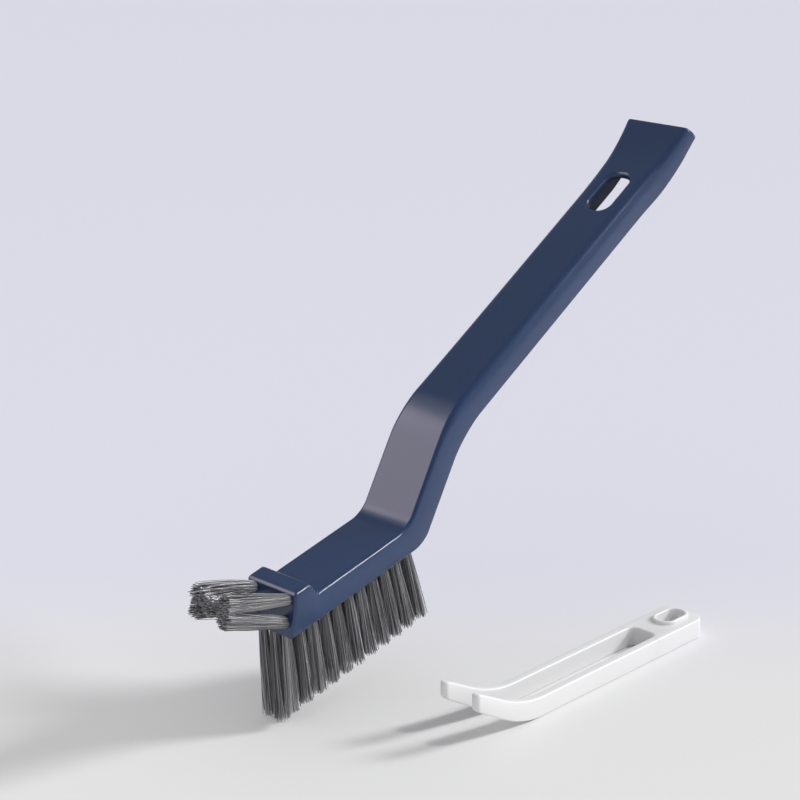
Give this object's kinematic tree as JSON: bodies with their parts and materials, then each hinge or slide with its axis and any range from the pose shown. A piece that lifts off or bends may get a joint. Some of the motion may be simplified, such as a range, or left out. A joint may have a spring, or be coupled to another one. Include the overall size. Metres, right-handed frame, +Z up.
{
  "type": "window cleaning brush",
  "caption": "Brush for window tracks: bent moulded handle with a hanging slot, bristle tufts under its head and on its nose, and the springy clip from its underside lying beside it.",
  "frame": {"origin": "middle of the hanging slot, in the top face of the grip", "axes": "held as pictured, +Z up; +X from the nose toward the handle's end, level; +Y across the brush, away from the clip"},
  "size_m": [0.2241, 0.0738, 0.1682],
  "materials": {
    "handle": "satin navy moulding",
    "bristles": "grey nylon bristle",
    "clip": "satin white moulding"
  },
  "bodies": {
    "brush": {"handle_body": "handle", "head_tuft_1_01": "bristles", "head_tuft_1_02": "bristles", "head_tuft_1_03": "bristles", "head_tuft_1_04": "bristles", "head_tuft_1_05": "bristles", "head_tuft_1_06": "bristles", "head_tuft_1_07": "bristles", "head_tuft_1_08": "bristles", "head_tuft_1_09": "bristles", "head_tuft_1_10": "bristles", "head_tuft_1_11": "bristles", "head_tuft_2_01": "bristles", "head_tuft_2_02": "bristles", "head_tuft_2_03": "bristles", "head_tuft_2_04": "bristles", "head_tuft_2_05": "bristles", "head_tuft_2_06": "bristles", "head_tuft_2_07": "bristles", "head_tuft_2_08": "bristles", "head_tuft_2_09": "bristles", "head_tuft_2_10": "bristles", "head_tuft_2_11": "bristles", "head_tuft_3_01": "bristles", "head_tuft_3_02": "bristles", "head_tuft_3_03": "bristles", "head_tuft_3_04": "bristles", "head_tuft_3_05": "bristles", "head_tuft_3_06": "bristles", "head_tuft_3_07": "bristles", "head_tuft_3_08": "bristles", "head_tuft_3_09": "bristles", "head_tuft_3_10": "bristles", "head_tuft_3_11": "bristles", "nose_tuft_1": "bristles", "nose_tuft_2": "bristles", "nose_tuft_3": "bristles", "nose_tuft_4": "bristles", "nose_tuft_5": "bristles"},
    "clip": {"clip_eyelet": "clip"},
    "clip_near": {"clip_arm_near": "clip"},
    "clip_far": {"clip_arm_far": "clip"}
  },
  "joints": [
    {"name": "clip_lift", "type": "slide", "parent": "brush", "child": "clip", "axis": [0, 0, 1], "range_m": [0, 0.1]},
    {"name": "near_arm_squeeze", "type": "hinge", "parent": "clip", "child": "clip_near", "pos_m": [-0.0379, -0.0582, -0.14805], "axis": [0, 0, 1], "range_deg": [-2.9, 0], "stiffness_Nm_per_rad": 0.5},
    {"name": "far_arm_squeeze", "type": "hinge", "parent": "clip", "child": "clip_far", "pos_m": [-0.0379, -0.0448, -0.14805], "axis": [0, 0, 1], "range_deg": [0, 2.9], "stiffness_Nm_per_rad": 0.5}
  ],
  "couplings": [
    {"joint": "far_arm_squeeze", "follows": "near_arm_squeeze", "ratio": -1}
  ]
}
